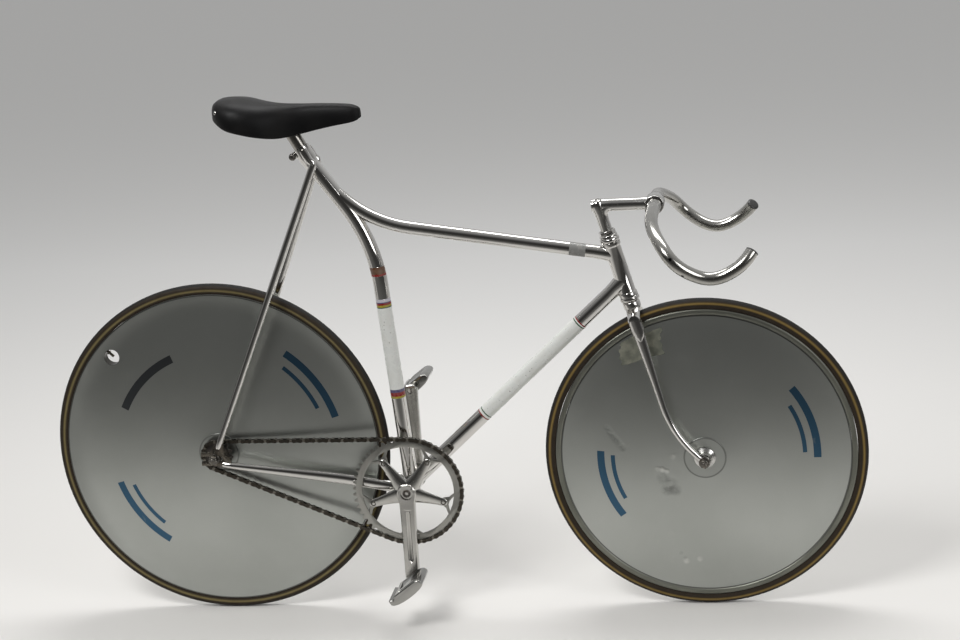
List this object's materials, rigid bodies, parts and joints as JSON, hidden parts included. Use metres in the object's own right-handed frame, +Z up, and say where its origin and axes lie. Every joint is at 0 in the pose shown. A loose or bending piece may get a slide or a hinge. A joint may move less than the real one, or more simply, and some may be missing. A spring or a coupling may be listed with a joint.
{
  "type": "track bicycle",
  "caption": "Track racing bicycle with a curved steel frame, lens-shaped disc wheels, the front one smaller, cow-horn handlebar, fixed gear and no brakes",
  "frame": {"origin": "the middle of the saddle's top, where the rider sits", "axes": "+X forward, +Y to the rider's left, +Z up"},
  "size_m": [1.579, 0.4691, 1.0227],
  "materials": {
    "chrome": "mirror-bright plating, a little worn",
    "polished_alloy": "polished",
    "anodised_alloy": "satin anodised",
    "satin_disc": "satin grey skin over a fibre composite lens, scuffed",
    "tyre_rubber": "black tread over tan side walls",
    "black_leather": "smooth, worn to a soft shine",
    "dark_steel": "dark and oily",
    "black_plastic": "matt"
  },
  "bodies": {
    "frame": {"head_tube": "chrome", "top_tube": "chrome", "seat_tube": "chrome", "down_tube": "chrome", "bottom_bracket_shell": "chrome", "bottom_bracket_cup_right": "chrome", "bottom_bracket_cup_left": "chrome", "seat_stay_right": "chrome", "seat_stay_left": "chrome", "chain_stay_right": "chrome", "chain_stay_left": "chrome", "track_end_right": "chrome", "track_end_left": "chrome", "headset_lower_cup": "chrome", "headset_upper_cup": "chrome", "seat_binder_bolt": "dark_steel", "seat_post": "polished_alloy", "saddle": "black_leather", "saddle_rails": "chrome", "rear_axle": "dark_steel", "chain": "dark_steel"},
    "steering": {"fork_crown": "chrome", "fork_blade_right": "chrome", "fork_blade_left": "chrome", "headset_locknut": "chrome", "stem": "polished_alloy", "handlebar": "anodised_alloy", "bar_plug_right": "black_plastic", "bar_plug_left": "black_plastic", "front_axle": "dark_steel"},
    "front_wheel": {"front_hub": "polished_alloy", "front_disc": "satin_disc", "front_tyre": "tyre_rubber"},
    "rear_wheel": {"rear_hub": "polished_alloy", "rear_disc": "satin_disc", "rear_tyre": "tyre_rubber", "cog": "dark_steel"},
    "crank": {"crank_spindle": "dark_steel", "crank_arm_right": "polished_alloy", "crank_arm_left": "polished_alloy", "chainring": "anodised_alloy", "pedal_axle_right": "chrome", "pedal_axle_left": "chrome"},
    "pedal_right": {"pedal_right": "polished_alloy"},
    "pedal_left": {"pedal_left": "polished_alloy"}
  },
  "joints": [
    {"name": "steering_turn", "type": "hinge", "parent": "frame", "child": "steering", "pos_m": [0.70403, 0, -0.42515], "axis": [-0.2672, 0, 0.9636], "range_deg": [-80, 80]},
    {"name": "front_wheel_spin", "type": "hinge", "parent": "steering", "child": "front_wheel", "pos_m": [0.82799, 0, -0.7187], "axis": [0, 1, 0], "continuous": true},
    {"name": "rear_wheel_spin", "type": "hinge", "parent": "frame", "child": "rear_wheel", "pos_m": [-0.11297, 0, -0.6887], "axis": [0, 1, 0], "continuous": true},
    {"name": "crank_spin", "type": "hinge", "parent": "frame", "child": "crank", "pos_m": [0.25799, 0, -0.769], "axis": [0, 1, 0], "continuous": true},
    {"name": "pedal_right_spin", "type": "hinge", "parent": "crank", "child": "pedal_right", "pos_m": [0.25799, -0.1105, -0.939], "axis": [0, 1, 0], "continuous": true},
    {"name": "pedal_left_spin", "type": "hinge", "parent": "crank", "child": "pedal_left", "pos_m": [0.25799, 0.1105, -0.599], "axis": [0, 1, 0], "continuous": true}
  ],
  "couplings": [
    {"joint": "crank_spin", "follows": "rear_wheel_spin", "ratio": 0.26923}
  ]
}
